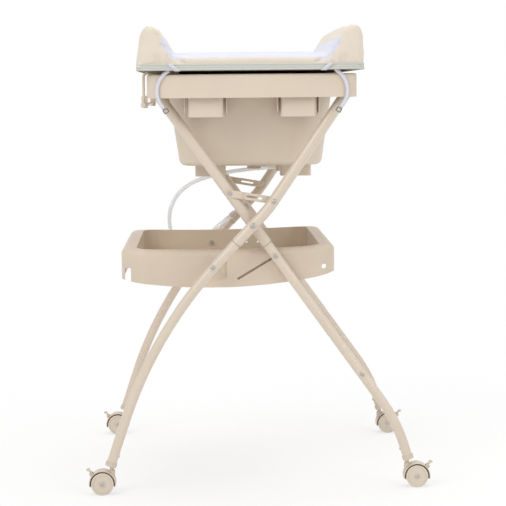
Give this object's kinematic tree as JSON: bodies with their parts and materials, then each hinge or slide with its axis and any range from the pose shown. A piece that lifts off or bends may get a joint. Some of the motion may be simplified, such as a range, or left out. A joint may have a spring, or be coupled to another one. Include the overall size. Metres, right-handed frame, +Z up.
{
  "type": "changing table",
  "caption": "Folding cross-legged stand on braked casters with a baby bath, a hinged contoured changing pad, a storage tray and a drain hose.",
  "frame": {"origin": "on the floor, midway between the casters", "axes": "+X to the right of a user facing the short end, +Y to the rear along the bath's length, +Z up"},
  "size_m": [0.7742, 0.78, 1.036],
  "materials": {
    "frame_paint": "warm beige powder coat, satin",
    "fitting_plastic": "warm beige moulded plastic, satin",
    "screw_steel": "bright plated steel",
    "tray_plastic": "warm beige moulded plastic, satin",
    "tub_plastic": "warm beige moulded plastic, soft gloss",
    "hose_vinyl": "translucent white vinyl tube",
    "stopper_rubber": "pale rubber",
    "board_panel": "dark brown faced panel",
    "pad_fabric": "beige coated fabric with a pale mesh lying surface and piped lower edge",
    "strap_elastic": "white elastic webbing",
    "buckle_steel": "plated wire",
    "caster_plastic": "warm beige moulded plastic",
    "wheel_plastic": "warm beige hard tread"
  },
  "bodies": {
    "straight_frame": {"front_straight_upper_leg": "frame_paint", "rear_straight_upper_leg": "frame_paint", "front_straight_lower_leg": "frame_paint", "rear_straight_lower_leg": "frame_paint", "left_top_rail": "frame_paint", "left_rail_caps": "fitting_plastic", "straight_foot_plugs": "fitting_plastic", "cross_pivot_bolts": "screw_steel", "cross_pivot_spacers": "fitting_plastic", "strut_plate_rivets": "screw_steel", "tray_guide_pins": "screw_steel", "straight_leg_screws": "screw_steel"},
    "bent_frame": {"front_bent_upper_leg": "frame_paint", "rear_bent_upper_leg": "frame_paint", "front_bent_lower_leg": "frame_paint", "rear_bent_lower_leg": "frame_paint", "right_top_rail": "frame_paint", "right_rail_caps": "fitting_plastic", "bent_foot_plugs": "fitting_plastic", "strut_slider_rivets": "screw_steel", "tray_pivot_bolts": "screw_steel"},
    "strut_plates": {"front_strut_plate": "frame_paint", "rear_strut_plate": "frame_paint"},
    "strut_sliders": {"front_strut_slider": "frame_paint", "rear_strut_slider": "frame_paint"},
    "tray": {"storage_tray": "tray_plastic"},
    "tub": {"bath_tub": "tub_plastic", "drain_outlet": "fitting_plastic", "drain_hose": "hose_vinyl", "hose_stopper": "stopper_rubber", "hinge_rod": "frame_paint", "hinge_lugs": "fitting_plastic"},
    "plug": {"drain_plug": "fitting_plastic"},
    "changing_top": {"front_bail": "frame_paint", "rear_bail": "frame_paint", "pad_board": "board_panel", "changing_pad": "pad_fabric", "front_left_strap": "strap_elastic", "front_right_strap": "strap_elastic", "rear_left_strap": "strap_elastic", "rear_right_strap": "strap_elastic", "strap_buckles": "buckle_steel"},
    "front_left_swivel": {"front_left_caster_hood": "caster_plastic", "front_left_caster_axle": "screw_steel"},
    "front_left_wheel_pair": {"front_left_caster_wheels": "wheel_plastic"},
    "front_left_brake": {"front_left_brake_pedal": "caster_plastic"},
    "rear_left_swivel": {"rear_left_caster_hood": "caster_plastic", "rear_left_caster_axle": "screw_steel"},
    "rear_left_wheel_pair": {"rear_left_caster_wheels": "wheel_plastic"},
    "rear_left_brake": {"rear_left_brake_pedal": "caster_plastic"},
    "front_right_swivel": {"front_right_caster_hood": "caster_plastic", "front_right_caster_axle": "screw_steel"},
    "front_right_wheel_pair": {"front_right_caster_wheels": "wheel_plastic"},
    "front_right_brake": {"front_right_brake_pedal": "caster_plastic"},
    "rear_right_swivel": {"rear_right_caster_hood": "caster_plastic", "rear_right_caster_axle": "screw_steel"},
    "rear_right_wheel_pair": {"rear_right_caster_wheels": "wheel_plastic"},
    "rear_right_brake": {"rear_right_brake_pedal": "caster_plastic"}
  },
  "joints": [
    {"name": "frame_fold", "type": "hinge", "parent": "straight_frame", "child": "bent_frame", "pos_m": [-0.0125, 0, 0.594], "axis": [0, -1, 0], "range_deg": [0, 45], "deforming": ["drain_hose", "hose_stopper"]},
    {"name": "tub_lift", "type": "slide", "parent": "straight_frame", "child": "tub", "axis": [-0.1961, 0, 0.9806], "range_m": [0, 0.805], "deforming": ["drain_hose", "hose_stopper"]},
    {"name": "strut_plate_turn", "type": "hinge", "parent": "straight_frame", "child": "strut_plates", "pos_m": [-0.06224, 0, 0.66354], "axis": [0, -1, 0], "range_deg": [0, 8.2]},
    {"name": "strut_slider_turn", "type": "hinge", "parent": "bent_frame", "child": "strut_sliders", "pos_m": [0.0335, 0, 0.647], "axis": [0, -1, 0], "range_deg": [-37, 0]},
    {"name": "tray_turn", "type": "hinge", "parent": "bent_frame", "child": "tray", "pos_m": [-0.1015, 0, 0.503], "axis": [0, -1, 0], "range_deg": [0, 11.35]},
    {"name": "changing_top_hinge", "type": "hinge", "parent": "tub", "child": "changing_top", "pos_m": [-0.2475, 0, 0.859], "axis": [0, -1, 0], "range_deg": [0, 100]},
    {"name": "drain_plug_lift", "type": "slide", "parent": "tub", "child": "plug", "axis": [0, 0, 1], "range_m": [0, 0.04]},
    {"name": "front_left_swivel_turn", "type": "hinge", "parent": "bent_frame", "child": "front_left_swivel", "pos_m": [-0.33, -0.337, 0.054], "axis": [0, 0, 1], "continuous": true},
    {"name": "front_left_wheel_spin", "type": "hinge", "parent": "front_left_swivel", "child": "front_left_wheel_pair", "pos_m": [-0.351, -0.337, 0.025], "axis": [0, 1, 0], "continuous": true},
    {"name": "front_left_brake_press", "type": "hinge", "parent": "front_left_swivel", "child": "front_left_brake", "pos_m": [-0.37582, -0.337, 0.04583], "axis": [0, -1, 0], "range_deg": [0, 20]},
    {"name": "rear_left_swivel_turn", "type": "hinge", "parent": "bent_frame", "child": "rear_left_swivel", "pos_m": [-0.33, 0.337, 0.054], "axis": [0, 0, 1], "continuous": true},
    {"name": "rear_left_wheel_spin", "type": "hinge", "parent": "rear_left_swivel", "child": "rear_left_wheel_pair", "pos_m": [-0.351, 0.337, 0.025], "axis": [0, 1, 0], "continuous": true},
    {"name": "rear_left_brake_press", "type": "hinge", "parent": "rear_left_swivel", "child": "rear_left_brake", "pos_m": [-0.37582, 0.337, 0.04583], "axis": [0, -1, 0], "range_deg": [0, 20]},
    {"name": "front_right_swivel_turn", "type": "hinge", "parent": "straight_frame", "child": "front_right_swivel", "pos_m": [0.33, -0.305, 0.054], "axis": [0, 0, 1], "continuous": true},
    {"name": "front_right_wheel_spin", "type": "hinge", "parent": "front_right_swivel", "child": "front_right_wheel_pair", "pos_m": [0.351, -0.305, 0.025], "axis": [0, 1, 0], "continuous": true},
    {"name": "front_right_brake_press", "type": "hinge", "parent": "front_right_swivel", "child": "front_right_brake", "pos_m": [0.37582, -0.305, 0.04583], "axis": [0, 1, 0], "range_deg": [0, 20]},
    {"name": "rear_right_swivel_turn", "type": "hinge", "parent": "straight_frame", "child": "rear_right_swivel", "pos_m": [0.33, 0.305, 0.054], "axis": [0, 0, 1], "continuous": true},
    {"name": "rear_right_wheel_spin", "type": "hinge", "parent": "rear_right_swivel", "child": "rear_right_wheel_pair", "pos_m": [0.351, 0.305, 0.025], "axis": [0, 1, 0], "continuous": true},
    {"name": "rear_right_brake_press", "type": "hinge", "parent": "rear_right_swivel", "child": "rear_right_brake", "pos_m": [0.37582, 0.305, 0.04583], "axis": [0, 1, 0], "range_deg": [0, 20]}
  ],
  "couplings": [
    {"joint": "tub_lift", "follows": "frame_fold", "m_per_rad": 1.02},
    {"joint": "strut_plate_turn", "follows": "frame_fold", "ratio": 0.18},
    {"joint": "strut_slider_turn", "follows": "frame_fold", "ratio": -0.82},
    {"joint": "tray_turn", "follows": "frame_fold", "ratio": 0.25}
  ]
}
